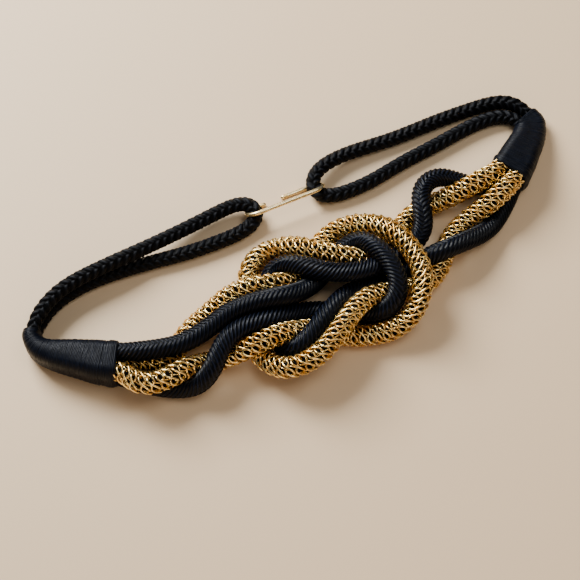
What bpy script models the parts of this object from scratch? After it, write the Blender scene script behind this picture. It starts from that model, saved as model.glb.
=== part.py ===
"""A rope belt for the waist, closed and lying on a surface.

Two pairs of cords, each a black braided cord and a gold cord, are doubled into bights and tied
in a reef knot at the front. Their ends go into two sleeves of wound black thread. Out of the
sleeves' other ends come two loops of thin plaited cord, which run round the back and meet in a
long open wire hook. X runs along the belt, +Y is the back of the waist, Z is up, and the
surface that it lies on is z = 0.
"""
import math

import bmesh
import bpy
import numpy as np

MM = 0.001

# Driving sizes in millimetres.
BLACK_CORD = 12.0           # diameter of the knot's black braided cord
GOLD_CORD = 13.0            # diameter of the gold cord over its knitted wire sleeve
SLEEVE_WALL = 1.6           # wall of the knitted wire sleeve
BACK_CORD = 9.5             # diameter of the plaited cord at the back
WRAP_WALL = 1.2             # thickness of the wound thread round the cords that it holds
SOCKET_DEPTH = 9.0          # how far the knot's cords go into a wrap
NECK_DEPTH = 5.0            # how far the back cords go into a wrap
HOOK_WIRE = 3.0             # diameter of the hook's wire
HOOK_LENGTH = 59.0          # overall length of the hook
HOOK_SPREAD = 15.5          # between the centres of the hook's two bars
HOOK_MOUTH = 11.0           # opening in the hook's back bar
HOOK_STUB = 8.5             # straight length of the back bar's short side
HOOK_LEAN = 41.0            # degrees that the hook leans back from upright
HOOK_TURN = -4.0            # degrees that the hook is turned from the X axis
HOOK_PLACE = (4.8, 52.9)    # centre of the hook in plan
MIDDLE = (0.06, -0.65, 0.0) # the plan's point that the belt's origin is put on

# Clearances in millimetres.
GAP = 0.3                   # between a cord and the piece that holds it
CORD_ROOM = 0.85            # what settling leaves between two cords, less a bend's flattening
SEAT_RUN = 3.0              # straight run of a cord outside its wrap

# A wrap presses the cords that it holds.
PRESSED = 0.88              # a cord's width in a wrap, as a share of its free width
SWELL_RUN = 14.0            # how far outside its wrap a cord has its full width again

# How finely the cords are worked out and drawn.
FINE_STEP = 3.0             # millimetres between a cord's points as it settles
POINT_STEP = 16.0           # millimetres between a drawn cord's points on a straight run
POINT_TURN = 27.0           # degrees of bend that take one drawn point more
CORD_ROUNDNESS = 2
HOOK_ROUNDNESS = 3

# Settling of the cords.
SETTLE_ROUNDS = 320
LIST_EVERY = 10             # rounds between two listings of which points are near each other
LIST_REACH = 6.0            # millimetres past touching that the listing takes in
SPREAD_PASSES = 6           # how far along a cord one push is spread
FAIR_PASSES = 8             # how much of the chosen points' wobble is evened out
OWN_REACH = 4.5             # radii along a cord within which it doesn't push on itself

WRAP_SIDES = 24
SECTION_STEP = 4.5          # millimetres between the sections of a wrap
ABOUT_TURN = 180            # degrees from the way out of a wrap's neck to the way in

# The cords' routes in plan, read off the real belt: x and y in millimetres, and the lift,
# which is 0 on the surface and 1 on top of one other knot cord.
LEFT_GOLD_ROUTE = [
    (-130, -14, 0), (-121, -17, 0), (-108, -14, 0), (-96, -5, 0), (-83, -4, 0.3),
    (-63, -1, 0.9), (-53, -2, 1.05), (-46, -5, 1.1), (-36, -7, 1), (-24, -5, 0.5),
    (-14, -5, 0.1), (-4, -1, 0), (5, 6, 0), (12, 12, 0), (20, 15, 0), (33, 15, 0.2),
    (45, 7, 0.6), (53, -2, 1), (56, -13, 1.2), (58, -26, 1.25), (56, -40, 1.45), (49, -49, 1.3),
    (38, -56, 0.85), (30, -56, 0.5), (20, -55, 0.2), (9, -51, 0), (-2, -48, 0), (-11, -41, 0),
    (-21, -34, 0), (-27, -31, 0.1), (-39, -33, 0.6), (-51, -33, 1.05), (-68, -32, 1.05),
    (-78, -29, 0.6), (-89, -28, 0), (-97, -27, 0.1), (-106, -29, 0.5), (-115, -31, 0.9),
    (-125, -32, 1), (-135, -31, 1), (-141, -27, 1),
]
LEFT_BLACK_ROUTE = [
    (-128, -9, 1), (-118, -13, 1), (-108, -18, 1.05), (-95, -19, 1.05), (-82, -18, 1),
    (-69, -15, 1), (-51, -17, 1), (-42, -20, 1), (-32, -22, 0.8), (-19, -20, 0.3), (-4, -12, 0),
    (8, -6, 0), (17, -4, 0), (25, -5, 0.1), (30, -10, 0.45), (30, -15, 0.8), (33, -21, 1),
    (36, -29, 1.05), (37, -38, 1.15), (36, -45, 1.1), (31, -50, 0.9), (24, -47, 0.5),
    (18, -42, 0.1), (11, -37, 0), (3, -31, 0), (-7, -27, 0), (-23, -25, 0.2), (-34, -24, 0.6),
    (-45, -24, 1), (-56, -22, 1), (-68, -21, 1), (-82, -27, 1.05), (-91, -35, 1.05),
    (-99, -37, 0.6), (-106, -36, 0.2), (-113, -33, 0), (-119, -30, 0), (-127, -26, 0),
    (-133, -20, 0),
]
RIGHT_GOLD_ROUTE = [
    (130, -2, 1), (121, -1, 1), (112, -1, 0.8), (105, 2, 0.4), (97, 3, 0), (86, 4, 0),
    (73, 1, 0), (62, -6, 0), (51, -12, 0), (41, -14, 0), (30, -15, 0.4), (19, -13, 0.85),
    (10, -7, 0.95), (2, 0, 1), (-4, 8, 0.85), (-10, 17, 0.4), (-19, 23, 0), (-29, 24, 0),
    (-37, 21, 0), (-44, 14, 0), (-48, 4, 0), (-53, -7, 0), (-58, -18, 0), (-62, -30, 0),
    (-62, -39, 0.1), (-58, -48, 0.35), (-52, -56, 0.75), (-43, -60, 1), (-31, -59, 1.05),
    (-20, -55, 1.1), (-9, -49, 1.05), (2, -43, 0.8), (14, -39, 0.4), (26, -38, 0.1),
    (36, -38, 0), (47, -37, 0), (55, -36, 0), (63, -33, 0), (68, -31, 0), (72, -28, 0),
    (79, -22, 0), (90, -17, 0), (102, -16, 0.1), (114, -17, 0.4), (124, -17, 0.8),
]
RIGHT_BLACK_ROUTE = [
    (126, -3, 0), (119, 2, 0.05), (112, 6, 0.3), (103, 12, 0.7), (94, 12, 1), (86, 9, 1),
    (80, 1, 1.05), (77, -9, 1), (75, -19, 0.4), (65, -25, 0.1), (53, -28, 0), (43, -28, 0.1),
    (33, -28, 0.5), (24, -26, 0.75), (12, -24, 0.95), (2, -20, 1), (-6, -12, 1), (-13, -4, 0.8),
    (-19, 2, 0.35), (-23, 7, 0), (-28, 4, 0), (-31, -4, 0), (-35, -13, 0), (-38, -23, 0),
    (-40, -33, 0), (-40, -39, 0.35), (-39, -44, 0.8), (-31, -44, 1.05), (-20, -40, 1.1),
    (-12, -37, 1.05), (-2, -33, 0.7), (6, -31, 0.3), (16, -29, 0.1), (26, -29, 0), (36, -30, 0),
    (46, -31, 0), (57, -31, 0.15), (65, -31, 0.6), (70, -33, 1), (78, -34, 1.05),
    (94, -33, 0.8), (106, -31, 0.4), (118, -27, 0.1), (129, -21, 0),
]
LEFT_BACK_ROUTE = [
    (-178, 49, 0.76), (-166, 56, 0.76), (-153, 60, 0.76), (-138, 61, 0.76), (-114, 61, 0.74),
    (-92, 62, 0.5), (-64, 64, 0.2), (-40, 65, 0.15), (-27, 64.5, 0.25), (-18, 59.5, 0.3),
    (-16, 53, 0.25), (-21, 47.5, 0.1), (-34, 45.5, 0), (-54, 47, 0), (-71, 49, 0), (-94, 54, 0),
    (-117, 58, 0), (-138, 60, 0), (-153, 59, 0), (-166, 56, 0), (-178, 49, 0),
]
RIGHT_BACK_ROUTE = [
    (182, 44, 0.2), (172, 52, 0.1), (153, 56, 0), (127, 59, 0), (93, 61, 0), (61, 65, 0.1),
    (39, 63.5, 0.25), (29, 58, 0.3), (25, 49.8, 0.15), (30, 43, 0), (42, 40, 0), (64, 39, 0),
    (91, 42, 0), (118, 43, 0), (145, 45, 0), (163, 44, 0), (174, 41, 0),
]

CORDS = {
    "left_gold": (LEFT_GOLD_ROUTE, GOLD_CORD),
    "left_black": (LEFT_BLACK_ROUTE, BLACK_CORD),
    "right_gold": (RIGHT_GOLD_ROUTE, GOLD_CORD),
    "right_black": (RIGHT_BLACK_ROUTE, BLACK_CORD),
    "left_back": (LEFT_BACK_ROUTE, BACK_CORD),
    "right_back": (RIGHT_BACK_ROUTE, BACK_CORD),
}

# The wraps in plan: each end's place, and the heading in degrees in which its cords leave.
LEFT_MOUTH = (-145.5, -5.0, -32.0)
LEFT_NECK = (-184.5, 41.5, 60.0)
LEFT_AXIS = [(-185.6, 28.5), (-179.5, 21.0), (-167.0, 10.8)]
RIGHT_MOUTH = (144.5, -4.5, -152.0)
RIGHT_NECK = (181.5, 32.5, 106.0)
RIGHT_AXIS = [(181.0, 23.5), (174.0, 16.0), (164.5, 8.6)]

# How a wrap tapers: the share of the way from its mouth, and how much of the neck's form it has.
WRAP_TAPER = [(0.0, 0.0), (0.2, 0.03), (0.4, 0.24), (0.6, 0.52), (0.8, 0.84), (0.92, 1.0),
              (1.0, 1.0)]

COLOURS = {
    "black_braid": ((0.012, 0.013, 0.02, 1.0), 0.45, 0.0),
    "black_plait": ((0.01, 0.01, 0.014, 1.0), 0.7, 0.0),
    "whipping_thread": ((0.01, 0.012, 0.02, 1.0), 0.4, 0.0),
    "gold_wire": ((0.83, 0.58, 0.24, 1.0), 0.3, 1.0),
    "pale_gold": ((0.8, 0.7, 0.5, 1.0), 0.35, 1.0),
}


def clear_scene():
    """Removes every object, so that the script can be run again in the same file."""
    for old in list(bpy.data.objects):
        bpy.data.objects.remove(old, do_unlink=True)


def material(name):
    """A Principled material from the table of colours."""
    made = bpy.data.materials.new(name)
    made.use_nodes = True
    shader = made.node_tree.nodes["Principled BSDF"]
    colour, roughness, metallic = COLOURS[name]
    shader.inputs["Base Color"].default_value = colour
    shader.inputs["Roughness"].default_value = roughness
    shader.inputs["Metallic"].default_value = metallic
    return made


def placed(point):
    """A point in metres, measured from the belt's origin."""
    return [(c - m) * MM for c, m in zip(point, MIDDLE)]


def direction(heading):
    """The unit vector in plan of a heading in degrees."""
    return np.array([math.cos(math.radians(heading)), math.sin(math.radians(heading))])


def evenly(points, step):
    """The same path with points a near-equal step apart."""
    run = np.concatenate([[0.0], np.cumsum(np.linalg.norm(np.diff(points, axis=0), axis=1))])
    stops = np.linspace(0.0, run[-1], max(2, round(run[-1] / step)) + 1)
    return np.column_stack([np.interp(stops, run, points[:, k]) for k in range(points.shape[1])])


def drawn(path, diameter):
    """A cord's path with fewer points: straight ends, and closer together where it bends."""
    steps = np.diff(path, axis=0)
    lengths = np.linalg.norm(steps, axis=1)
    facing = steps / lengths[:, None]
    turns = np.degrees(np.arccos(np.clip((facing[1:] * facing[:-1]).sum(axis=1), -1.0, 1.0)))
    share = lengths / POINT_STEP
    share[1:] += turns / POINT_TURN / 2
    share[:-1] += turns / POINT_TURN / 2
    needed = np.concatenate([[0.0], np.cumsum(share)])
    free = np.flatnonzero(~near_ends(path, diameter))
    first, last = needed[free[0] - 1], needed[free[-1] + 1]
    between = np.linspace(first, last, round(last - first) + 1)
    stops = [needed[0], *between, needed[-1]]
    return np.column_stack([np.interp(stops, needed, path[:, k]) for k in range(3)])


def curve_through(points, step):
    """Even points on the smooth curve that runs through the given points."""
    knots = np.asarray(points, dtype=float)
    knots = np.vstack([2 * knots[0] - knots[1], knots, 2 * knots[-1] - knots[-2]])
    path = []
    for a, b, c, d in zip(knots, knots[1:], knots[2:], knots[3:]):
        for t in np.arange(0.0, 1.0, 0.05):
            path.append(0.5 * (2 * b + (c - a) * t + (2 * a - 5 * b + 4 * c - d) * t ** 2
                               + (3 * b - a - 3 * c + d) * t ** 3))
    path.append(knots[-2])
    return evenly(np.array(path), step)


def stacked(lower, upper):
    """Heights of two round cords of these diameters, one on the other inside a wrap."""
    base = WRAP_WALL + GAP + PRESSED * lower / 2
    return base, base + PRESSED * (lower + upper) / 2 + CORD_ROOM


def seats():
    """Where each cord sits in its wrap: end, step to the left of the heading, height, diameter."""
    beside = PRESSED * (BLACK_CORD + GOLD_CORD) / 4 + CORD_ROOM / 2
    on_black = stacked(BLACK_CORD, GOLD_CORD)
    on_gold = stacked(GOLD_CORD, BLACK_CORD)
    back_low, back_high = stacked(BACK_CORD, BACK_CORD)
    gold_apart = (PRESSED * GOLD_CORD + CORD_ROOM) / 2
    back_apart = (PRESSED * BACK_CORD + CORD_ROOM) / 2
    return {
        "left_gold": [(LEFT_MOUTH, beside, on_gold[0], GOLD_CORD),
                      (LEFT_MOUTH, -beside, on_black[1], GOLD_CORD)],
        "left_black": [(LEFT_MOUTH, beside, on_gold[1], BLACK_CORD),
                       (LEFT_MOUTH, -beside, on_black[0], BLACK_CORD)],
        "right_gold": [(RIGHT_MOUTH, -gold_apart, on_black[1], GOLD_CORD),
                       (RIGHT_MOUTH, gold_apart, on_black[1], GOLD_CORD)],
        "right_black": [(RIGHT_MOUTH, -gold_apart, on_black[0], BLACK_CORD),
                        (RIGHT_MOUTH, gold_apart, on_black[0], BLACK_CORD)],
        "left_back": [(LEFT_NECK, 0.0, back_high, BACK_CORD),
                      (LEFT_NECK, 0.0, back_low, BACK_CORD)],
        "right_back": [(RIGHT_NECK, -back_apart, back_low, BACK_CORD),
                       (RIGHT_NECK, back_apart, back_low, BACK_CORD)],
    }


def seat_line(seat):
    """The straight end of a cord, from the bottom of its socket to just outside the wrap."""
    (x, y, heading), aside, height, diameter = seat
    out = direction(heading)
    left = np.array([-out[1], out[0]])
    place = np.array([x, y]) + aside * left
    depth = NECK_DEPTH if diameter == BACK_CORD else SOCKET_DEPTH
    steps = (GAP - depth, (GAP - depth) / 2, 0.0, SEAT_RUN)
    return [np.array([*(place + step * out), height]) for step in steps]


def whole_route(route, diameter, ends):
    """A cord's route in millimetres, with its straight ends in the wraps."""
    pitch = (BLACK_CORD + GOLD_CORD) / 2 + CORD_ROOM
    free = [np.array([x, y, diameter / 2 + lift * pitch]) for x, y, lift in route]
    path = curve_through([*seat_line(ends[0]), *free, *seat_line(ends[1])[::-1]], FINE_STEP)
    return path + evened(evened_path(path) - path, near_ends(path, diameter))


def near_ends(path, diameter):
    """Which points of a cord's path are held in a wrap."""
    run = np.arange(len(path)) * FINE_STEP
    depth = NECK_DEPTH if diameter == BACK_CORD else SOCKET_DEPTH
    return (run < depth + SEAT_RUN) | (run[-1] - run < depth + SEAT_RUN)


def girth(path, diameter):
    """A cord's radius at each of its points, slimmer where a wrap presses it."""
    run = np.concatenate([[0.0], np.cumsum(np.linalg.norm(np.diff(path, axis=0), axis=1))])
    depth = NECK_DEPTH if diameter == BACK_CORD else SOCKET_DEPTH
    outside = np.minimum(run, run[-1] - run) - depth
    share = np.clip(outside / SWELL_RUN, 0.0, 1.0)
    return diameter / 2 * (PRESSED + (1 - PRESSED) * share * share * (3 - 2 * share))


def evened_path(path):
    """A path with the small wobbles of its chosen points taken out."""
    smooth = path.copy()
    for _ in range(FAIR_PASSES):
        smooth[1:-1] = 0.5 * smooth[1:-1] + 0.25 * (smooth[:-2] + smooth[2:])
    return smooth


def hook_path():
    """The centre line of the hook's wire: short stub, left bend, front bar, right bend, back bar."""
    bend = HOOK_SPREAD / 2
    half = HOOK_LENGTH / 2 - HOOK_WIRE / 2 - bend
    flat = [(-half + HOOK_STUB, -bend), (-half, -bend)]
    for degrees in range(-105, -256, -15):
        turn = math.radians(degrees)
        flat.append((-half + bend * math.cos(turn), bend * math.sin(turn)))
    for degrees in range(90, -91, -15):
        turn = math.radians(degrees)
        flat.append((half + bend * math.cos(turn), bend * math.sin(turn)))
    flat.append((-half + HOOK_STUB + HOOK_MOUTH, -bend))
    along = np.array([*direction(HOOK_TURN), 0.0])
    back = np.array([-along[1], along[0], 0.0])
    lean = math.radians(HOOK_LEAN)
    rise = math.cos(lean) * np.array([0.0, 0.0, 1.0]) - math.sin(lean) * back
    middle = np.array([*HOOK_PLACE, HOOK_WIRE / 2 + bend * math.cos(lean)])
    return np.array([middle + u * along + v * rise for u, v in flat])


def evened(moves, held):
    """Spreads each point's move along its cord, with the held points left where they are."""
    for _ in range(SPREAD_PASSES):
        moves[1:-1] = 0.5 * moves[1:-1] + 0.25 * (moves[:-2] + moves[2:])
        moves[0] = moves[1]
        moves[-1] = moves[-2]
        moves[held] = 0.0
    return moves


def settle(cords, fixed):
    """Lets the cords push each other apart until each lies clear of the rest.

    cords holds a path, a diameter and which of its points are held; fixed is the hook's wire.
    """
    paths = [path.copy() for path, _, _ in cords] + [evenly(fixed, FINE_STEP)]
    radii = [girth(path, diameter) for path, diameter, _ in cords]
    radii.append(np.full(len(paths[-1]), HOOK_WIRE / 2))
    held = [kept for _, _, kept in cords] + [np.ones(len(paths[-1]), bool)]
    sizes = [len(path) for path in paths]
    edges = np.concatenate([[0], np.cumsum(sizes)])
    owner = np.repeat(np.arange(len(paths)), sizes)
    place = np.concatenate([np.arange(size) for size in sizes])
    radius = np.concatenate(radii)
    start = np.vstack(paths)
    at = start.copy()
    still = np.concatenate(held)
    for turn in range(SETTLE_ROUNDS):
        if turn % LIST_EVERY == 0:
            reach = radius[:, None] + radius[None] + CORD_ROOM + LIST_REACH
            own = owner[:, None] == owner[None]
            along = np.abs(place[:, None] - place[None]) * FINE_STEP
            apart = np.linalg.norm(at[:, None] - at[None], axis=2)
            near = (apart < reach) & ~(own & (along < OWN_REACH * radius[:, None]))
            one, other = np.nonzero(np.triu(near, 1))
        away = at[one] - at[other]
        distance = np.maximum(np.linalg.norm(away, axis=1), 1e-6)
        short = np.maximum(radius[one] + radius[other] + CORD_ROOM - distance, 0.0)
        push = away * (0.5 * short / distance)[:, None]
        moves = np.zeros_like(at)
        pushes = np.zeros(len(at))
        np.add.at(moves, one, push)
        np.add.at(moves, other, -push)
        np.add.at(pushes, one, short > 0)
        np.add.at(pushes, other, short > 0)
        moves /= np.maximum(pushes, 1.0)[:, None]
        moves[still] = 0.0
        shift = at + 1.4 * moves - start
        for low, high in zip(edges, edges[1:]):
            kept = still[low:high]
            shift[low:high] = 0.6 * shift[low:high] + 0.4 * evened(shift[low:high].copy(), kept)
        at = start + shift
        at[:, 2] = np.where(still, at[:, 2], np.maximum(at[:, 2], radius))
    return [at[low:high] for low, high in zip(edges, edges[1:-1])]


def cord_paths():
    """The settled centre line of every cord, by name."""
    ends = seats()
    cords = []
    for name, (route, diameter) in CORDS.items():
        path = whole_route(route, diameter, ends[name])
        cords.append((path, diameter, near_ends(path, diameter)))
    return dict(zip(CORDS, settle(cords, hook_path())))


def tube(name, path, widths, diameter, look, collection, roundness, capped=True):
    """A round bar along a path, as a curve object whose points each have a share of its width."""
    curve = bpy.data.curves.new(name, "CURVE")
    curve.dimensions = "3D"
    curve.bevel_depth = diameter / 2 * MM
    curve.bevel_resolution = round(roundness)
    curve.use_fill_caps = capped
    spline = curve.splines.new("POLY")
    spline.points.add(len(path) - 1)
    for point, spot, share in zip(spline.points, path, widths):
        point.co = (*placed(spot), 1.0)
        point.radius = share
    spline.use_smooth = True
    curve.materials.append(look)
    made = bpy.data.objects.new(name, curve)
    collection.objects.link(made)
    return made


def cord(name, path, diameter, look, collection):
    """A cord with its full width, slimmer where a wrap presses it."""
    widths = girth(path, diameter) / (diameter / 2)
    return tube(name, path, widths, diameter, look, collection, CORD_ROUNDNESS)


def gold_cord(side, path, looks, collection):
    """A knitted wire sleeve and the black core that it is drawn over."""
    outer = girth(path, GOLD_CORD)
    sleeve = tube(f"knot_gold_sleeve_{side}", path, outer / outer.max(), 2 * outer.max(),
                  looks["gold_wire"], collection, CORD_ROUNDNESS, capped=False)
    wall = sleeve.modifiers.new("wall", "SOLIDIFY")
    wall.thickness = SLEEVE_WALL * MM
    wall.offset = -1.0
    wall.use_rim = True
    inner = outer - SLEEVE_WALL - GAP
    tube(f"knot_gold_core_{side}", path, inner / inner.max(), 2 * inner.max(),
         looks["black_braid"], collection, CORD_ROUNDNESS)


def outline(held, wall):
    """The line wound tightly round the held cords and a wall, as a centre height and radii.

    Each cord is its step aside, its height and its radius, and the line is given as its
    distance from the centre in WRAP_SIDES even directions.
    """
    low = min(height - radius for _, height, radius in held) - wall
    high = max(height + radius for _, height, radius in held) + wall
    centre = (low + high) / 2
    normals = np.radians(np.arange(0, 360, 2))
    support = np.max([aside * np.cos(normals) + (height - centre) * np.sin(normals)
                      + radius + wall for aside, height, radius in held], axis=0)
    radii = []
    for number in range(WRAP_SIDES):
        facing = np.cos(normals - 2 * math.pi * number / WRAP_SIDES)
        reaches = support[facing > 0.02] / facing[facing > 0.02]
        radii.append(reaches.min())
    return centre, np.array(radii)


def mixed(one, other, share):
    """An outline between two outlines."""
    return tuple((1 - share) * a + share * b for a, b in zip(one, other))


def ring(place, heading, shape):
    """The points of an outline that stands upright across a heading."""
    centre, radii = shape
    out = direction(heading)
    left = np.array([-out[1], out[0]])
    points = []
    for number, reach in enumerate(radii):
        angle = 2 * math.pi * number / WRAP_SIDES
        aside = reach * math.cos(angle)
        points.append((place[0] + aside * left[0], place[1] + aside * left[1],
                       centre + reach * math.sin(angle)))
    return points


def lofted(name, rings, look, collection):
    """A closed body through a list of rings, with its two ends filled."""
    shape = bmesh.new()
    rows = [[shape.verts.new(placed(point)) for point in row] for row in rings]
    for one, other in zip(rows, rows[1:]):
        for k in range(WRAP_SIDES):
            nxt = (k + 1) % WRAP_SIDES
            shape.faces.new((one[k], one[nxt], other[nxt], other[k]))
    shape.faces.new(rows[0])
    shape.faces.new(rows[-1])
    bmesh.ops.recalc_face_normals(shape, faces=shape.faces)
    mesh = bpy.data.meshes.new(name)
    shape.to_mesh(mesh)
    shape.free()
    mesh.shade_smooth()
    mesh.set_sharp_from_angle(angle=math.radians(40))
    mesh.materials.append(look)
    made = bpy.data.objects.new(name, mesh)
    collection.objects.link(made)
    return made


def wrap(side, mouth, neck, axis, look, collection):
    """A sleeve of wound thread, with a socket at each end for the cords that it holds."""
    held = {}
    for ends in seats().values():
        for end, aside, height, diameter in ends:
            held.setdefault(end, []).append((aside, height, PRESSED * diameter / 2))
    wide = outline(held[mouth], WRAP_WALL + GAP)
    slim = outline(held[neck], WRAP_WALL + GAP)
    mouth_out = direction(mouth[2])
    neck_out = direction(neck[2])
    mouth_in = np.array(mouth[:2]) - SOCKET_DEPTH * mouth_out
    neck_in = np.array(neck[:2]) - NECK_DEPTH * neck_out
    line = curve_through([mouth[:2], mouth_in, *axis[::-1], neck_in, neck[:2]],
                         SECTION_STEP)
    shares = np.linspace(0.0, 1.0, len(line))
    taper = np.array(WRAP_TAPER)
    slopes = np.gradient(line, axis=0)
    headings = np.degrees(np.unwrap(np.arctan2(-slopes[:, 1], -slopes[:, 0])))
    headings[0] = mouth[2]
    rings = [ring(mouth_in, mouth[2], outline(held[mouth], GAP)),
             ring(mouth[:2], mouth[2], outline(held[mouth], GAP))]
    for place, heading, share in zip(line, headings, shares):
        form = np.interp(share, taper[:, 0], taper[:, 1])
        rings.append(ring(place, heading, mixed(wide, slim, form)))
    # The neck's cords leave the other way round, so its outline is turned to match.
    neck_hole = outline([(-aside, height, radius) for aside, height, radius in held[neck]], GAP)
    rings.append(ring(neck[:2], neck[2] + ABOUT_TURN, neck_hole))
    rings.append(ring(neck_in, neck[2] + ABOUT_TURN, neck_hole))
    return lofted(f"wrap_{side}", rings, look, collection)


def build():
    """Makes the belt."""
    clear_scene()
    belt = bpy.data.collections.new("rope_belt")
    bpy.context.scene.collection.children.link(belt)
    looks = {name: material(name) for name in COLOURS}
    paths = {name: drawn(path, CORDS[name][1]) for name, path in cord_paths().items()}
    for side in ("left", "right"):
        cord(f"knot_black_{side}", paths[f"{side}_black"], BLACK_CORD, looks["black_braid"], belt)
        gold_cord(side, paths[f"{side}_gold"], looks, belt)
        cord(f"back_loop_{side}", paths[f"{side}_back"], BACK_CORD, looks["black_plait"], belt)
    wrap("left", LEFT_MOUTH, LEFT_NECK, LEFT_AXIS, looks["whipping_thread"], belt)
    wrap("right", RIGHT_MOUTH, RIGHT_NECK, RIGHT_AXIS, looks["whipping_thread"], belt)
    wire = hook_path()
    tube("hook", wire, np.ones(len(wire)), HOOK_WIRE, looks["pale_gold"], belt, HOOK_ROUNDNESS)


build()
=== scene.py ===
"""The rope belt as it lies closed and flat, dressed for the camera.

Two pairs of cords, a black braid and a black cord in a knitted gold wire sleeve, are tied in a
reef knot. Wound black thread holds their ends, two plaited loops go round the back, and an open
wire hook joins the loops. Lengths are in millimetres until a mesh is made.
"""
import math

import bmesh
import bpy
import numpy as np
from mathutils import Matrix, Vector


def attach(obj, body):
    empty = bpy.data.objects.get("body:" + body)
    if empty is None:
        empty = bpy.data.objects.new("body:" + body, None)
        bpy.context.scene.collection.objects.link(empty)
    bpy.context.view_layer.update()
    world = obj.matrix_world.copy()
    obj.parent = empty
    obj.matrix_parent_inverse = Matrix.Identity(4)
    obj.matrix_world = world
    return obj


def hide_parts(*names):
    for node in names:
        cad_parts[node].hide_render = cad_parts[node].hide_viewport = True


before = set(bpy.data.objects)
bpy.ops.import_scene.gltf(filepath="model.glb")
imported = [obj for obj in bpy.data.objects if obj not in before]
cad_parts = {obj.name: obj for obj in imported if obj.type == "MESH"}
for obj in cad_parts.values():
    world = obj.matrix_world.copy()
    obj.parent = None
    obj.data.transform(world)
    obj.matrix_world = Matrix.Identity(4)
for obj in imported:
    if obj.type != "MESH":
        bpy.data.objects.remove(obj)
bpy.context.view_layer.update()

MM = 0.001

# Driving sizes in millimetres.
BLACK_CORD = 12.0           # diameter of the knot's black braided cord
GOLD_CORD = 13.0            # diameter of the gold cord over its knitted wire sleeve
SLEEVE_WALL = 1.6           # wall of the knitted wire sleeve
BACK_CORD = 9.5             # diameter of the plaited cord at the back
WRAP_WALL = 1.2             # thickness of the wound thread round the cords that it holds
SOCKET_DEPTH = 9.0          # how far the knot's cords go into a wrap
NECK_DEPTH = 5.0            # how far the back cords go into a wrap
HOOK_WIRE = 3.0             # diameter of the hook's wire
HOOK_LENGTH = 59.0          # overall length of the hook
HOOK_SPREAD = 15.5          # between the centres of the hook's two bars
HOOK_MOUTH = 11.0           # opening in the hook's back bar
HOOK_STUB = 8.5             # straight length of the back bar's short side
HOOK_LEAN = 41.0            # degrees that the hook leans back from upright
HOOK_TURN = -4.0            # degrees that the hook is turned from the X axis
HOOK_PLACE = (4.8, 52.9)    # centre of the hook in plan
MIDDLE = (0.06, -0.65, 0.0) # the plan's point that the belt's origin is put on

# Clearances in millimetres.
GAP = 0.3                   # between a cord and the piece that holds it
CORD_ROOM = 0.85            # what settling leaves between two cords, less a bend's flattening
SEAT_RUN = 3.0              # straight run of a cord outside its wrap

# A wrap presses the cords that it holds.
PRESSED = 0.88              # a cord's width in a wrap, as a share of its free width
SWELL_RUN = 14.0            # how far outside its wrap a cord has its full width again

# Settling of the cords.
FINE_STEP = 3.0             # millimetres between a cord's points as it settles
CURVE_STEP = 0.05           # share of the way from one chosen point to the next
SETTLE_ROUNDS = 320
LIST_EVERY = 10             # rounds between two listings of which points are near each other
LIST_REACH = 6.0            # millimetres past touching that the listing takes in
SPREAD_PASSES = 6           # how far along a cord one push is spread
FAIR_PASSES = 8             # how much of the chosen points' wobble is evened out
PUSH = 1.4                  # how many times the mean push a point moves in one round
EVENNESS = 0.4              # share of a point's move that is taken from its neighbours
OWN_REACH = 4.5             # radii along a cord within which it doesn't push on itself

# The knitted wire sleeves.
KNIT_WIRE = 1.4             # diameter of the knit's wire
KNIT_LEG = 0.55             # thickness of the wire between rows, as a share of that
KNIT_ROW = 5.3              # one row of the knit to the next
KNIT_ACROSS = 6             # rings in one row
KNIT_RING = 3.7             # length of one ring along the cord
KNIT_SWELL = 0.8            # how much wider than its solid the knit's outside is
KNIT_STEP = 1.0             # millimetres between points of the cord that the knit follows
KNIT_FULLNESS = 0.9         # below 1 it makes the rings fuller at their ends
KNIT_CROSSING = 0.45        # how far each wire goes in or out at a crossing, as a share of it
KNIT_LIFT = 0.3             # how far a ring stands out where it is widest
KNIT_TILT = 1.8             # how far along the cord one row leans
KNIT_DRIFT = 0.25           # radians that the rows turn to and fro round the cord
KNIT_DRIFT_ROWS = 9.0       # rows to one radian of that wave
LEG_SWING = 2.1             # how far along the cord the wire between rows wanders
LEG_DEPTH = 1.7             # how much deeper than the rings it lies
LEG_RISE = 0.9              # how far it rises and falls from there
RING_POINTS = 12            # points of wire to each ring of the knit
WIRE_SIDES = 6

# How uneven the knit is, each as a standard deviation.
ROW_SPREAD = 0.12           # millimetres along the cord
DRIFT_SPREAD = 0.035        # radians round it
TILT_SPREAD = 0.25          # millimetres of a row's lean
RING_SPREAD = 0.09          # share of a ring's size
DEPTH_SPREAD = 0.04         # millimetres in or out, for each point of the wire

# The black braids, the plaits and the cores.
BRAID_PITCH = 3.0           # one rib to the next
BRAID_SWEEP = 14.0          # how far along the cord a rib slants
BRAID_RIB = 1.15            # height of a rib
CORE_SWEEP = 11.0
CORE_RIB = 0.5
PLAIT_PITCH = 5.6
PLAIT_SWEEP = 4.4
PLAIT_RIB = 1.5
RIB_LEAD = 0.85             # below 1 it sets a rib's crest to one side of its middle
RIB_FORM = 1.5              # the higher, the broader a rib's crest
RIB_END_DROP = 0.35         # how much lower a rib is at its two ends, as a share of its height
RIB_END_POWER = 6           # the higher, the shorter that drop

# Where each black braid's line of Vs lies, which turns slowly along the cord: share of the
# cord's length, and degrees to the right of its upper side.
BRAID_TWIST = {
    "left": [(0.0, -30), (0.25, -38), (0.45, -32), (0.6, -40), (0.7, -62), (1.0, -70)],
    "right": [(0.0, 30), (0.12, 15), (0.2, 0), (0.28, -25), (0.36, -125), (0.42, -140),
              (0.56, -140), (0.72, -50), (1.0, -60)],
}

WEAR_SCALE = 0.12           # patches of wear to a millimetre, on all the black pieces

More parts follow.
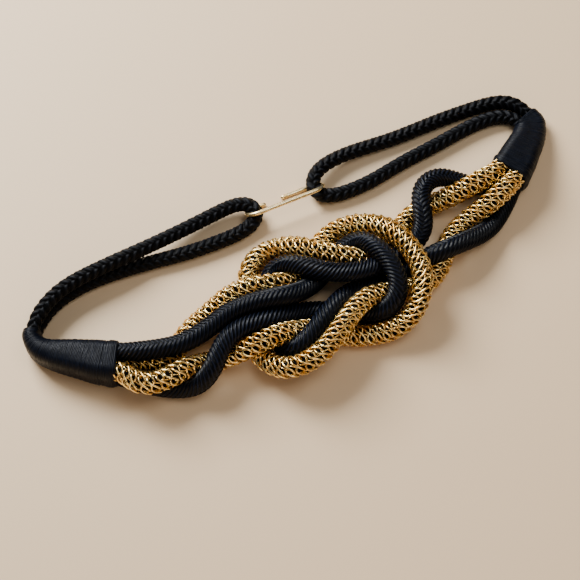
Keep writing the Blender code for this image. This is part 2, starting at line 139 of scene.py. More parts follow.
# The wound thread of the wraps.
THREAD = 1.0                # one turn of the whipping thread to the next
TURN_SECTIONS = 4           # sections along one turn
BEAD = 0.36                 # how far a turn stands up from the groove beside it
BEAD_FORM = 0.7             # below 1 it makes the turns fuller
MOUTH_BAND = 0.7            # how far the doubled thread by a wrap's mouth stands up
BAND_PLACE = 4.5            # from the mouth to the middle of that band
BAND_HALF = 2.2             # half of its width
WRAP_EDGE = 0.9             # rounding of a wrap's two ends
WRAP_SIDES = 120
TURN_SPREAD = 0.12          # standard deviation of the turns' height
TURN_LEAN = 0.45            # how far the turns lean, as a share of one turn
TURN_FROM = 0.7             # radians from the wrap's side to where that lean starts
TURN_SEAT = 0.2             # how far the grooves lie inside the wrap's solid
HEADING_CALM = 41           # sections over which the wrap's direction is averaged
FACING_LEAST = 0.02         # cosine under which a direction says nothing of the outline
NORMAL_STEP = 2             # degrees between the directions that an outline is measured in
LAP = 0.6                   # millimetres of thread pattern to one side of a wrap

# The hook.
HOOK_STEP = 0.8             # millimetres between points of its wire
HOOK_FAIR_PASSES = 6
HOOK_TIP = 0.35             # radius of its blunt tips, as a share of the wire's

# The photograph's view.
VIEW_AZIMUTH = -28.0        # degrees: the camera looks from the front, a little from the left
VIEW_HEIGHT = 65.0          # degrees above the floor
VIEW_DISTANCE = 1000.0
VIEW_AIM = (-22.0, -5.0, 0.0)
LENS = 94.04                # gives 0.66 mm to a pixel at the aim
SENSOR = 36.0
FLOOR = 6.0                 # metres along each side of the floor

# The soft boxes: azimuth and height in degrees, distance and size in metres, power in watts
# and colour. A big cool window stands behind on the left, and a warm fill in front.
LIGHTS = [
    ("window", -168.0, 38.0, 1.5, 0.8, 54.0, (0.96, 0.98, 1.0)),
    ("overhead", 70.0, 72.0, 1.6, 0.8, 7.0, (1.0, 0.96, 0.9)),
    ("warm_fill", -20.0, 20.0, 1.3, 0.8, 5.0, (1.0, 0.7, 0.44)),
]
ROOM_COLOUR = (0.9, 0.93, 1.0, 1.0)
ROOM_STRENGTH = 0.16

# The cords' routes in plan, read off the real belt: x and y in millimetres, and the lift,
# which is 0 on the surface and 1 on top of one other knot cord.
LEFT_GOLD_ROUTE = [
    (-130, -14, 0), (-121, -17, 0), (-108, -14, 0), (-96, -5, 0), (-83, -4, 0.3),
    (-63, -1, 0.9), (-53, -2, 1.05), (-46, -5, 1.1), (-36, -7, 1), (-24, -5, 0.5),
    (-14, -5, 0.1), (-4, -1, 0), (5, 6, 0), (12, 12, 0), (20, 15, 0), (33, 15, 0.2),
    (45, 7, 0.6), (53, -2, 1), (56, -13, 1.2), (58, -26, 1.25), (56, -40, 1.45), (49, -49, 1.3),
    (38, -56, 0.85), (30, -56, 0.5), (20, -55, 0.2), (9, -51, 0), (-2, -48, 0), (-11, -41, 0),
    (-21, -34, 0), (-27, -31, 0.1), (-39, -33, 0.6), (-51, -33, 1.05), (-68, -32, 1.05),
    (-78, -29, 0.6), (-89, -28, 0), (-97, -27, 0.1), (-106, -29, 0.5), (-115, -31, 0.9),
    (-125, -32, 1), (-135, -31, 1), (-141, -27, 1),
]
LEFT_BLACK_ROUTE = [
    (-128, -9, 1), (-118, -13, 1), (-108, -18, 1.05), (-95, -19, 1.05), (-82, -18, 1),
    (-69, -15, 1), (-51, -17, 1), (-42, -20, 1), (-32, -22, 0.8), (-19, -20, 0.3), (-4, -12, 0),
    (8, -6, 0), (17, -4, 0), (25, -5, 0.1), (30, -10, 0.45), (30, -15, 0.8), (33, -21, 1),
    (36, -29, 1.05), (37, -38, 1.15), (36, -45, 1.1), (31, -50, 0.9), (24, -47, 0.5),
    (18, -42, 0.1), (11, -37, 0), (3, -31, 0), (-7, -27, 0), (-23, -25, 0.2), (-34, -24, 0.6),
    (-45, -24, 1), (-56, -22, 1), (-68, -21, 1), (-82, -27, 1.05), (-91, -35, 1.05),
    (-99, -37, 0.6), (-106, -36, 0.2), (-113, -33, 0), (-119, -30, 0), (-127, -26, 0),
    (-133, -20, 0),
]
RIGHT_GOLD_ROUTE = [
    (130, -2, 1), (121, -1, 1), (112, -1, 0.8), (105, 2, 0.4), (97, 3, 0), (86, 4, 0),
    (73, 1, 0), (62, -6, 0), (51, -12, 0), (41, -14, 0), (30, -15, 0.4), (19, -13, 0.85),
    (10, -7, 0.95), (2, 0, 1), (-4, 8, 0.85), (-10, 17, 0.4), (-19, 23, 0), (-29, 24, 0),
    (-37, 21, 0), (-44, 14, 0), (-48, 4, 0), (-53, -7, 0), (-58, -18, 0), (-62, -30, 0),
    (-62, -39, 0.1), (-58, -48, 0.35), (-52, -56, 0.75), (-43, -60, 1), (-31, -59, 1.05),
    (-20, -55, 1.1), (-9, -49, 1.05), (2, -43, 0.8), (14, -39, 0.4), (26, -38, 0.1),
    (36, -38, 0), (47, -37, 0), (55, -36, 0), (63, -33, 0), (68, -31, 0), (72, -28, 0),
    (79, -22, 0), (90, -17, 0), (102, -16, 0.1), (114, -17, 0.4), (124, -17, 0.8),
]
RIGHT_BLACK_ROUTE = [
    (126, -3, 0), (119, 2, 0.05), (112, 6, 0.3), (103, 12, 0.7), (94, 12, 1), (86, 9, 1),
    (80, 1, 1.05), (77, -9, 1), (75, -19, 0.4), (65, -25, 0.1), (53, -28, 0), (43, -28, 0.1),
    (33, -28, 0.5), (24, -26, 0.75), (12, -24, 0.95), (2, -20, 1), (-6, -12, 1), (-13, -4, 0.8),
    (-19, 2, 0.35), (-23, 7, 0), (-28, 4, 0), (-31, -4, 0), (-35, -13, 0), (-38, -23, 0),
    (-40, -33, 0), (-40, -39, 0.35), (-39, -44, 0.8), (-31, -44, 1.05), (-20, -40, 1.1),
    (-12, -37, 1.05), (-2, -33, 0.7), (6, -31, 0.3), (16, -29, 0.1), (26, -29, 0), (36, -30, 0),
    (46, -31, 0), (57, -31, 0.15), (65, -31, 0.6), (70, -33, 1), (78, -34, 1.05),
    (94, -33, 0.8), (106, -31, 0.4), (118, -27, 0.1), (129, -21, 0),
]
LEFT_BACK_ROUTE = [
    (-178, 49, 0.76), (-166, 56, 0.76), (-153, 60, 0.76), (-138, 61, 0.76), (-114, 61, 0.74),
    (-92, 62, 0.5), (-64, 64, 0.2), (-40, 65, 0.15), (-27, 64.5, 0.25), (-18, 59.5, 0.3),
    (-16, 53, 0.25), (-21, 47.5, 0.1), (-34, 45.5, 0), (-54, 47, 0), (-71, 49, 0), (-94, 54, 0),
    (-117, 58, 0), (-138, 60, 0), (-153, 59, 0), (-166, 56, 0), (-178, 49, 0),
]
RIGHT_BACK_ROUTE = [
    (182, 44, 0.2), (172, 52, 0.1), (153, 56, 0), (127, 59, 0), (93, 61, 0), (61, 65, 0.1),
    (39, 63.5, 0.25), (29, 58, 0.3), (25, 49.8, 0.15), (30, 43, 0), (42, 40, 0), (64, 39, 0),
    (91, 42, 0), (118, 43, 0), (145, 45, 0), (163, 44, 0), (174, 41, 0),
]

CORDS = {
    "left_gold": (LEFT_GOLD_ROUTE, GOLD_CORD),
    "left_black": (LEFT_BLACK_ROUTE, BLACK_CORD),
    "right_gold": (RIGHT_GOLD_ROUTE, GOLD_CORD),
    "right_black": (RIGHT_BLACK_ROUTE, BLACK_CORD),
    "left_back": (LEFT_BACK_ROUTE, BACK_CORD),
    "right_back": (RIGHT_BACK_ROUTE, BACK_CORD),
}

# The wraps in plan: each end's place, and the heading in degrees in which its cords leave.
LEFT_MOUTH = (-145.5, -5.0, -32.0)
LEFT_NECK = (-184.5, 41.5, 60.0)
LEFT_AXIS = [(-185.6, 28.5), (-179.5, 21.0), (-167.0, 10.8)]
RIGHT_MOUTH = (144.5, -4.5, -152.0)
RIGHT_NECK = (181.5, 32.5, 106.0)
RIGHT_AXIS = [(181.0, 23.5), (174.0, 16.0), (164.5, 8.6)]

# How a wrap tapers: the share of the way from its mouth, and how much of the neck's form it has.
WRAP_TAPER = [(0.0, 0.0), (0.2, 0.03), (0.4, 0.24), (0.6, 0.52), (0.8, 0.84), (0.92, 1.0),
              (1.0, 1.0)]


def placed(point):
    """A point in metres, measured from the belt's origin."""
    return [(c - m) * MM for c, m in zip(point, MIDDLE)]


def direction(heading):
    """The unit vector in plan of a heading in degrees."""
    return np.array([math.cos(math.radians(heading)), math.sin(math.radians(heading))])


def evenly(points, step):
    """The same path with points a near-equal step apart."""
    run = np.concatenate([[0.0], np.cumsum(np.linalg.norm(np.diff(points, axis=0), axis=1))])
    stops = np.linspace(0.0, run[-1], max(2, round(run[-1] / step)) + 1)
    return np.column_stack([np.interp(stops, run, points[:, k]) for k in range(points.shape[1])])


def curve_through(points, step):
    """Even points on the smooth curve that runs through the given points."""
    knots = np.asarray(points, dtype=float)
    knots = np.vstack([2 * knots[0] - knots[1], knots, 2 * knots[-1] - knots[-2]])
    path = []
    for a, b, c, d in zip(knots, knots[1:], knots[2:], knots[3:]):
        for t in np.arange(0.0, 1.0, CURVE_STEP):
            path.append(0.5 * (2 * b + (c - a) * t + (2 * a - 5 * b + 4 * c - d) * t ** 2
                               + (3 * b - a - 3 * c + d) * t ** 3))
    path.append(knots[-2])
    return evenly(np.array(path), step)


def stacked(lower, upper):
    """Heights of two round cords of these diameters, one on the other inside a wrap."""
    base = WRAP_WALL + GAP + PRESSED * lower / 2
    return base, base + PRESSED * (lower + upper) / 2 + CORD_ROOM


def seats():
    """Where each cord sits in its wrap: end, step to the left of the heading, height, diameter."""
    beside = PRESSED * (BLACK_CORD + GOLD_CORD) / 4 + CORD_ROOM / 2
    on_black = stacked(BLACK_CORD, GOLD_CORD)
    on_gold = stacked(GOLD_CORD, BLACK_CORD)
    back_low, back_high = stacked(BACK_CORD, BACK_CORD)
    gold_apart = (PRESSED * GOLD_CORD + CORD_ROOM) / 2
    back_apart = (PRESSED * BACK_CORD + CORD_ROOM) / 2
    return {
        "left_gold": [(LEFT_MOUTH, beside, on_gold[0], GOLD_CORD),
                      (LEFT_MOUTH, -beside, on_black[1], GOLD_CORD)],
        "left_black": [(LEFT_MOUTH, beside, on_gold[1], BLACK_CORD),
                       (LEFT_MOUTH, -beside, on_black[0], BLACK_CORD)],
        "right_gold": [(RIGHT_MOUTH, -gold_apart, on_black[1], GOLD_CORD),
                       (RIGHT_MOUTH, gold_apart, on_black[1], GOLD_CORD)],
        "right_black": [(RIGHT_MOUTH, -gold_apart, on_black[0], BLACK_CORD),
                        (RIGHT_MOUTH, gold_apart, on_black[0], BLACK_CORD)],
        "left_back": [(LEFT_NECK, 0.0, back_high, BACK_CORD),
                      (LEFT_NECK, 0.0, back_low, BACK_CORD)],
        "right_back": [(RIGHT_NECK, -back_apart, back_low, BACK_CORD),
                       (RIGHT_NECK, back_apart, back_low, BACK_CORD)],
    }


def seat_line(seat):
    """The straight end of a cord, from the bottom of its socket to just outside the wrap."""
    (x, y, heading), aside, height, diameter = seat
    out = direction(heading)
    left = np.array([-out[1], out[0]])
    place = np.array([x, y]) + aside * left
    depth = NECK_DEPTH if diameter == BACK_CORD else SOCKET_DEPTH
    steps = (GAP - depth, (GAP - depth) / 2, 0.0, SEAT_RUN)
    return [np.array([*(place + step * out), height]) for step in steps]


def whole_route(route, diameter, ends):
    """A cord's route in millimetres, with its straight ends in the wraps."""
    pitch = (BLACK_CORD + GOLD_CORD) / 2 + CORD_ROOM
    free = [np.array([x, y, diameter / 2 + lift * pitch]) for x, y, lift in route]
    path = curve_through([*seat_line(ends[0]), *free, *seat_line(ends[1])[::-1]], FINE_STEP)
    return path + evened(evened_path(path) - path, near_ends(path, diameter))


def near_ends(path, diameter):
    """Which points of a cord's path are held in a wrap."""
    run = np.arange(len(path)) * FINE_STEP
    depth = NECK_DEPTH if diameter == BACK_CORD else SOCKET_DEPTH
    return (run < depth + SEAT_RUN) | (run[-1] - run < depth + SEAT_RUN)


def girth(path, diameter):
    """A cord's radius at each of its points, slimmer where a wrap presses it."""
    run = np.concatenate([[0.0], np.cumsum(np.linalg.norm(np.diff(path, axis=0), axis=1))])
    depth = NECK_DEPTH if diameter == BACK_CORD else SOCKET_DEPTH
    outside = np.minimum(run, run[-1] - run) - depth
    share = np.clip(outside / SWELL_RUN, 0.0, 1.0)
    return diameter / 2 * (PRESSED + (1 - PRESSED) * share * share * (3 - 2 * share))


def evened_path(path, passes=FAIR_PASSES):
    """A path with the small wobbles of its chosen points taken out."""
    smooth = path.copy()
    for _ in range(passes):
        smooth[1:-1] = 0.5 * smooth[1:-1] + 0.25 * (smooth[:-2] + smooth[2:])
    return smooth


def hook_path():
    """The centre line of the hook's wire: stub, left bend, front bar, right bend, back bar."""
    bend = HOOK_SPREAD / 2
    half = HOOK_LENGTH / 2 - HOOK_WIRE / 2 - bend
    flat = [(-half + HOOK_STUB, -bend), (-half, -bend)]
    for degrees in range(-105, -256, -15):
        turn = math.radians(degrees)
        flat.append((-half + bend * math.cos(turn), bend * math.sin(turn)))
    for degrees in range(90, -91, -15):
        turn = math.radians(degrees)
        flat.append((half + bend * math.cos(turn), bend * math.sin(turn)))
    flat.append((-half + HOOK_STUB + HOOK_MOUTH, -bend))
    along = np.array([*direction(HOOK_TURN), 0.0])
    back = np.array([-along[1], along[0], 0.0])
    lean = math.radians(HOOK_LEAN)
    rise = math.cos(lean) * np.array([0.0, 0.0, 1.0]) - math.sin(lean) * back
    middle = np.array([*HOOK_PLACE, HOOK_WIRE / 2 + bend * math.cos(lean)])
    return np.array([middle + u * along + v * rise for u, v in flat])


def evened(moves, held):
    """Spreads each point's move along its cord, with the held points left where they are."""
    for _ in range(SPREAD_PASSES):
        moves[1:-1] = 0.5 * moves[1:-1] + 0.25 * (moves[:-2] + moves[2:])
        moves[0] = moves[1]
        moves[-1] = moves[-2]
        moves[held] = 0.0
    return moves


def settle(cords, fixed):
    """Lets the cords push each other apart until each lies clear of the rest.

    cords holds a path, a diameter and which of its points are held; fixed is the hook's wire.
    """
    paths = [path.copy() for path, _, _ in cords] + [evenly(fixed, FINE_STEP)]
    radii = [girth(path, diameter) for path, diameter, _ in cords]
    radii.append(np.full(len(paths[-1]), HOOK_WIRE / 2))
    held = [kept for _, _, kept in cords] + [np.ones(len(paths[-1]), bool)]
    sizes = [len(path) for path in paths]
    edges = np.concatenate([[0], np.cumsum(sizes)])
    owner = np.repeat(np.arange(len(paths)), sizes)
    place = np.concatenate([np.arange(size) for size in sizes])
    radius = np.concatenate(radii)
    start = np.vstack(paths)
    at = start.copy()
    still = np.concatenate(held)
    for turn in range(SETTLE_ROUNDS):
        if turn % LIST_EVERY == 0:
            reach = radius[:, None] + radius[None] + CORD_ROOM + LIST_REACH
            own = owner[:, None] == owner[None]
            along = np.abs(place[:, None] - place[None]) * FINE_STEP
            apart = np.linalg.norm(at[:, None] - at[None], axis=2)
            near = (apart < reach) & ~(own & (along < OWN_REACH * radius[:, None]))
            one, other = np.nonzero(np.triu(near, 1))
        away = at[one] - at[other]
        distance = np.maximum(np.linalg.norm(away, axis=1), 1e-6)
        short = np.maximum(radius[one] + radius[other] + CORD_ROOM - distance, 0.0)
        push = away * (0.5 * short / distance)[:, None]
        moves = np.zeros_like(at)
        pushes = np.zeros(len(at))
        np.add.at(moves, one, push)
        np.add.at(moves, other, -push)
        np.add.at(pushes, one, short > 0)
        np.add.at(pushes, other, short > 0)
        moves /= np.maximum(pushes, 1.0)[:, None]
        moves[still] = 0.0
        shift = at + PUSH * moves - start
        for low, high in zip(edges, edges[1:]):
            kept = still[low:high]
            spread = evened(shift[low:high].copy(), kept)
            shift[low:high] = (1 - EVENNESS) * shift[low:high] + EVENNESS * spread
        at = start + shift
        at[:, 2] = np.where(still, at[:, 2], np.maximum(at[:, 2], radius))
    return [at[low:high] for low, high in zip(edges, edges[1:-1])]


def cord_paths():
    """The settled centre line of every cord, by name."""
    ends = seats()
    cords = []
    for name, (route, diameter) in CORDS.items():
        path = whole_route(route, diameter, ends[name])
        cords.append((path, diameter, near_ends(path, diameter)))
    return dict(zip(CORDS, settle(cords, hook_path())))


def outline(held, wall):
    """The line wound tightly round the held cords and a wall, as a centre height and radii.

    Each cord is its step aside, its height and its radius, and the line is given as its
    distance from the centre in WRAP_SIDES even directions.
    """
    low = min(height - radius for _, height, radius in held) - wall
    high = max(height + radius for _, height, radius in held) + wall
    centre = (low + high) / 2
    normals = np.radians(np.arange(0, 360, NORMAL_STEP))
    support = np.max([aside * np.cos(normals) + (height - centre) * np.sin(normals)
                      + radius + wall for aside, height, radius in held], axis=0)
    radii = []
    for number in range(WRAP_SIDES):
        facing = np.cos(normals - 2 * math.pi * number / WRAP_SIDES)
        reaches = support[facing > FACING_LEAST] / facing[facing > FACING_LEAST]
        radii.append(reaches.min())
    return centre, np.array(radii)


def mixed(one, other, share):
    """An outline between two outlines."""
    return tuple((1 - share) * a + share * b for a, b in zip(one, other))


def ring(place, heading, shape):
    """The points of an outline that stands upright across a heading."""
    centre, radii = shape
    out = direction(heading)
    left = np.array([-out[1], out[0]])
    points = []
    for number, reach in enumerate(radii):
        angle = 2 * math.pi * number / WRAP_SIDES
        aside = reach * math.cos(angle)
        points.append((place[0] + aside * left[0], place[1] + aside * left[1],
                       centre + reach * math.sin(angle)))
    return points


def toward(azimuth, height):
    """The unit vector from the belt to something at this azimuth and height in degrees."""
    a, e = math.radians(azimuth), math.radians(height)
    return np.array([math.sin(a) * math.cos(e), -math.cos(a) * math.cos(e), math.sin(e)])


VIEWER = toward(VIEW_AZIMUTH, VIEW_HEIGHT)


def aimed(thing, place, target):
    """Puts a camera or light at a place, in metres, facing a target."""
    line = Vector(target) - Vector(place)
    thing.location = place
    thing.rotation_euler = line.to_track_quat("-Z", "Y").to_euler()


def camera():
    """The photograph's view."""
    data = bpy.data.cameras.new("camera")
    data.lens = LENS
    data.sensor_width = SENSOR
    made = bpy.data.objects.new("camera", data)
    bpy.context.scene.collection.objects.link(made)
    aim = np.array(placed(VIEW_AIM))
    aimed(made, aim + VIEWER * VIEW_DISTANCE * MM, aim)
    bpy.context.scene.camera = made


def soft_light(name, azimuth, height, distance, size, power, colour):
    """One square soft box."""
    data = bpy.data.lights.new(name, "AREA")
    data.size = size
    data.energy = power
    data.color = colour
    made = bpy.data.objects.new(name, data)
    bpy.context.scene.collection.objects.link(made)
    aimed(made, tuple(toward(azimuth, height) * distance), (0.0, 0.0, 0.0))


def studio():
    """A pale floor, the soft boxes and a dim room."""
    bpy.ops.mesh.primitive_plane_add(size=FLOOR, location=(0.0, 0.0, 0.0))
    floor = bpy.context.object
    floor.name = "table_top"
    bpy.ops.object.transform_apply(location=True, rotation=True, scale=True)
    matt, _, _ = finish_of("pale_table", Base_Color=linear("E6C8A0"), Roughness=0.55)
    floor.data.materials.append(matt)
    for light in LIGHTS:
        soft_light(*light)
    world = bpy.data.worlds.new("room")
    bpy.context.scene.world = world
    world.use_nodes = True
    background = world.node_tree.nodes["Background"]
    background.inputs["Color"].default_value = ROOM_COLOUR
    background.inputs["Strength"].default_value = ROOM_STRENGTH


def linear(hexes):
    """An sRGB hex colour as linear RGBA."""
    parts = [int(hexes[k:k + 2], 16) / 255 for k in (0, 2, 4)]
    return (*[c / 12.92 if c <= 0.04045 else ((c + 0.055) / 1.055) ** 2.4 for c in parts], 1.0)


def node(tree, kind, settings=None, **inputs):
    """Adds a node with its settings, and sets or links each of its inputs."""
    made = tree.nodes.new(kind)
    for name, value in (settings or {}).items():
        setattr(made, name, value)
    for name, value in inputs.items():
        socket = made.inputs[int(name[1:])] if name[0] == "_" else made.inputs[
            name.replace("_", " ")]
        if isinstance(value, bpy.types.NodeSocket):
            tree.links.new(value, socket)
        else:
            socket.default_value = value
    return made


def finish_of(name, **constants):
    """A new material, with its shader's constants set on the shader's own sockets."""
    made = bpy.data.materials.new(name)
    made.use_nodes = True
    shader = made.node_tree.nodes["Principled BSDF"]
    for key, value in constants.items():
        shader.inputs[key.replace("_", " ")].default_value = value
    return made, made.node_tree, shader


def mixed_colour(tree, share, one, other):
    """A colour between two others, each a hex colour or a socket."""
    mix = node(tree, "ShaderNodeMix", {"data_type": "RGBA"})
    for socket, colour in ((mix.inputs[6], one), (mix.inputs[7], other)):
        if isinstance(colour, str):
            socket.default_value = linear(colour)
        else:
            tree.links.new(colour, socket)
    tree.links.new(share, mix.inputs[0])
    return mix.outputs[2]


def threads(name, dark, light, crest_highlight, strand, thread, run, roughness, shine, depth):
    """Black textile in fine parallel threads, with a painted highlight: a lighter colour along
    each strand's crest.

    The UV map is in millimetres: x across a strand's threads and y along them. strand is the
    width of one strand, thread that of one of its threads, run how far a streak goes along it
    and depth the height of the threads' bump.
    """
    made, tree, shader = finish_of(name, Roughness=roughness, Specular_IOR_Level=shine)
    uv = node(tree, "ShaderNodeUVMap", {"uv_map": "threads"}).outputs[0]
    stretched = node(tree, "ShaderNodeMapping", Vector=uv, Scale=(1 / thread, 1 / run, 1.0))
    fine = node(tree, "ShaderNodeTexNoise", Vector=stretched.outputs[0], Scale=1.0, Detail=3.0,
                Roughness=0.6)
    broad = node(tree, "ShaderNodeTexNoise", Vector=uv, Scale=WEAR_SCALE, Detail=2.0)
    share = node(tree, "ShaderNodeMapRange", Value=fine.outputs[0], From_Min=0.45, From_Max=0.75)
    colour = mixed_colour(tree, share.outputs[0], dark, light)
    place = node(tree, "ShaderNodeSeparateXYZ", Vector=uv).outputs[0]
    rise = node(tree, "ShaderNodeMath", {"operation": "PINGPONG"}, _0=place, _1=strand / 2)
    crest = node(tree, "ShaderNodeMapRange", {"interpolation_type": "SMOOTHSTEP"},
                 Value=rise.outputs[0], From_Min=strand * 0.28, From_Max=strand * 0.47)
    # Painted highlight: the lighter crest colour is laid along the crest of each strand, as if lit
    # there.
    tree.links.new(mixed_colour(tree, crest.outputs[0], colour, crest_highlight), shader.inputs["Base Color"])
    patch = node(tree, "ShaderNodeMapRange", Value=broad.outputs[0], From_Min=0.3, From_Max=0.7,
                 To_Min=roughness - 0.07, To_Max=roughness + 0.1)
    tree.links.new(patch.outputs[0], shader.inputs["Roughness"])
    bump = node(tree, "ShaderNodeBump", Height=fine.outputs[0], Strength=0.8,
                Distance=depth * MM)
    tree.links.new(bump.outputs[0], shader.inputs["Normal"])
    return made


def metal(name, colour, deep, roughness, grain):
    """Plated wire, deeper in colour in clouds that are grain millimetres wide."""
    made, tree, shader = finish_of(name, Metallic=1.0, Roughness=roughness)
    where = node(tree, "ShaderNodeTexCoord").outputs["Object"]
    cloud = node(tree, "ShaderNodeTexNoise", Vector=where, Scale=1 / (grain * MM), Detail=3.0)
    share = node(tree, "ShaderNodeMapRange", Value=cloud.outputs[0], From_Min=0.35, From_Max=0.7)
    tree.links.new(mixed_colour(tree, share.outputs[0], colour, deep), shader.inputs["Base Color"])
    gloss = node(tree, "ShaderNodeMapRange", Value=cloud.outputs[0], From_Min=0.3, From_Max=0.7,
                 To_Min=roughness - 0.06, To_Max=roughness + 0.08)
    tree.links.new(gloss.outputs[0], shader.inputs["Roughness"])
    return made


def course_along(path, step):
    """Even points on a path, with the run to each, its direction, its side and its upper side."""
    points = evenly(evened_path(path), step)
    run = np.concatenate([[0.0], np.cumsum(np.linalg.norm(np.diff(points, axis=0), axis=1))])
    ahead = np.gradient(points, axis=0)
    ahead /= np.linalg.norm(ahead, axis=1)[:, None]
    side = np.cross(ahead, VIEWER)
    side /= np.linalg.norm(side, axis=1)[:, None]
    return points, run, ahead, side, np.cross(side, ahead)


def on_cord(course, run_at, angle, reach):
    """Points at a run along a cord, an angle round it from its upper side, and a reach."""
    points, run, _, side, top = course
    spread = [np.stack([np.interp(run_at, run, rows[:, k]) for k in range(3)], axis=-1)
              for rows in (points, side, top)]
    return spread[0] + reach[..., None] * (np.cos(angle)[..., None] * spread[2]
                                           + np.sin(angle)[..., None] * spread[1])


def filled(name, flat, loops, sizes, look):
    """A smooth object from points in metres, the corners of its faces and their counts."""
    mesh = bpy.data.meshes.new(name)
    mesh.vertices.add(len(flat))
    mesh.vertices.foreach_set("co", flat.ravel().astype(np.float32))
    mesh.loops.add(len(loops))
    mesh.loops.foreach_set("vertex_index", loops.astype(np.int32))
    mesh.polygons.add(len(sizes))
    mesh.polygons.foreach_set("loop_start", np.concatenate([[0], np.cumsum(sizes)[:-1]])
                              .astype(np.int32))
    mesh.polygons.foreach_set("loop_total", sizes.astype(np.int32))
    mesh.update(calc_edges=True)
    mesh.materials.append(look)
    made = bpy.data.objects.new(name, mesh)
    bpy.context.scene.collection.objects.link(made)
    return made


def grid_mesh(name, points, ring_closed, uv, look):
    """A smooth mesh over a grid of points, closed round its rings, with capped ends."""
    rows, columns, _ = points.shape
    flat = (points.reshape(-1, 3) - np.array(MIDDLE)) * MM
    number = np.arange(rows * columns).reshape(rows, columns)
    one, other = number[:-1], number[1:]
    quads = np.stack([one, np.roll(one, -1, axis=1), np.roll(other, -1, axis=1), other], axis=-1)
    wide = np.concatenate([uv, uv[:, :1] + ring_closed], axis=1)
    corner_uv = np.stack([wide[:-1, :-1], wide[:-1, 1:], wide[1:, 1:], wide[1:, :-1]], axis=2)
    faces = quads.reshape(-1, 4)
    loops = np.concatenate([faces.ravel(), number[0][::-1], number[-1]])
    sizes = np.concatenate([np.full(len(faces), 4), [columns] * 2])
    made = filled(name, flat, loops, sizes, look)
    values = np.zeros((len(loops), 2), np.float32)
    values[:faces.size] = corner_uv.reshape(-1, 2)
    made.data.uv_layers.new(name="threads").data.foreach_set("uv", values.ravel())
    made.data.shade_smooth()
    made.data.validate()
    return made


def face_out(made):
    """Turns a closed mesh's faces outwards."""
    shape = bmesh.new()
    shape.from_mesh(made.data)
    bmesh.ops.recalc_face_normals(shape, faces=shape.faces)
    shape.to_mesh(made.data)
    shape.free()


def braided(name, path, diameter, look, columns, pitch, sweep, height, step, sides, turned,
            proud):
    """A round braid: slanting ribs in columns, which meet in lines of Vs.

    turned lists how many degrees the first line of Vs lies from the upper side of the cord,
    each with its share of the cord's length. proud is how far the ribs' crests stand out past
    the cord's own size.
    """
    course = course_along(path, step)
    run = course[1]
    width = girth(path, diameter)
    full = np.interp(run, np.linspace(0.0, run[-1], len(width)), width)
    twist = np.interp(run / run[-1], [share for share, _ in turned], [at for _, at in turned])
    angle = np.linspace(0.0, 2 * math.pi, sides, endpoint=False)
    run_at, angle_at = np.meshgrid(run, angle, indexing="ij")
    place = (angle_at - np.radians(twist)[:, None]) / (2 * math.pi) * columns
    column = np.floor(place)
    across = place - column
    lean = np.where(column % 2 == 0, across, 1.0 - across)
    phase = run_at / pitch + lean * sweep / pitch + np.where(column % 2 == 0, 0.0, 0.5)
    rib = phase - np.floor(phase)
    crest = 1.0 - np.abs(2.0 * rib ** RIB_LEAD - 1.0) ** RIB_FORM
    ends = 1.0 - np.abs(2.0 * across - 1.0) ** RIB_END_POWER * RIB_END_DROP
    reach = full[:, None] + proud + height * (crest * ends - 1.0)
    points = on_cord(course, run_at, angle_at, reach)
    points[..., 2] = np.maximum(points[..., 2], 0.0)
    slope = math.atan2(sweep, math.pi * diameter / columns)
    uv = np.stack([phase * pitch, place * math.pi * diameter / columns], axis=-1)
    uv *= math.cos(slope)
    return grid_mesh(name, points, np.array([0.0, math.pi * diameter * math.cos(slope)]), uv,
                     look)


def knitted(side, path, look, seed):
    """A knitted wire sleeve: rows round the cord, each a chain of rings whose two wires cross.

    Between the rows, deeper in, thinner wires wander from ring to ring. The wire of a real
    sleeve is pulled uneven as the cord is tied, so each row is shifted and sized a little
    differently, by fractions of a millimetre.
    """
    rng = np.random.default_rng(seed)
    course = course_along(path, KNIT_STEP)
    length = course[1][-1]
    rows = round(length / KNIT_ROW)
    count = KNIT_ACROSS * RING_POINTS
    turn = np.linspace(0.0, 2 * math.pi, count, endpoint=False)
    half = girth(path, GOLD_CORD + KNIT_SWELL)
    rings = []
    links = []
    for row in range(rows):
        middle = (row + 0.5) * length / rows + rng.normal(0.0, ROW_SPREAD)
        drift = (KNIT_DRIFT * math.sin(row / KNIT_DRIFT_ROWS)
                 + rng.normal(0.0, DRIFT_SPREAD))
        tilt = KNIT_TILT + rng.normal(0.0, TILT_SPREAD)
        size = 1.0 + rng.normal(0.0, RING_SPREAD, KNIT_ACROSS)
        size = np.interp(turn * KNIT_ACROSS / (2 * math.pi), np.arange(KNIT_ACROSS + 1),
                         np.append(size, size[0]))
        reach = np.interp(middle, np.linspace(0, length, len(half)), half) - KNIT_WIRE / 2
        for hand in (1, -1):
            swing = hand * np.sin(turn * KNIT_ACROSS / 2)
            swing = np.sign(swing) * np.abs(swing) ** KNIT_FULLNESS
            run_at = middle + size * swing * KNIT_RING / 2 + tilt * np.sin(turn)
            over = hand * np.cos(turn * KNIT_ACROSS / 2)
            reach_at = (reach + KNIT_CROSSING * KNIT_WIRE * over + KNIT_LIFT * np.abs(swing)
                        + rng.normal(0.0, DEPTH_SPREAD, count))
            rings.append(ring_wire(course, run_at, turn + drift, reach_at, KNIT_WIRE))
        between = turn * KNIT_ACROSS
        run_at = middle + KNIT_ROW / 2 + LEG_SWING * np.sin(between) + tilt * np.sin(turn)
        deep = reach - LEG_DEPTH + LEG_RISE * np.cos(between)
        if row < rows - 1:
            links.append(ring_wire(course, run_at, turn + drift, deep, KNIT_LEG * KNIT_WIRE))
    return wires(f"knit_{side}", rings, look), wires(f"knit_legs_{side}", links, look)


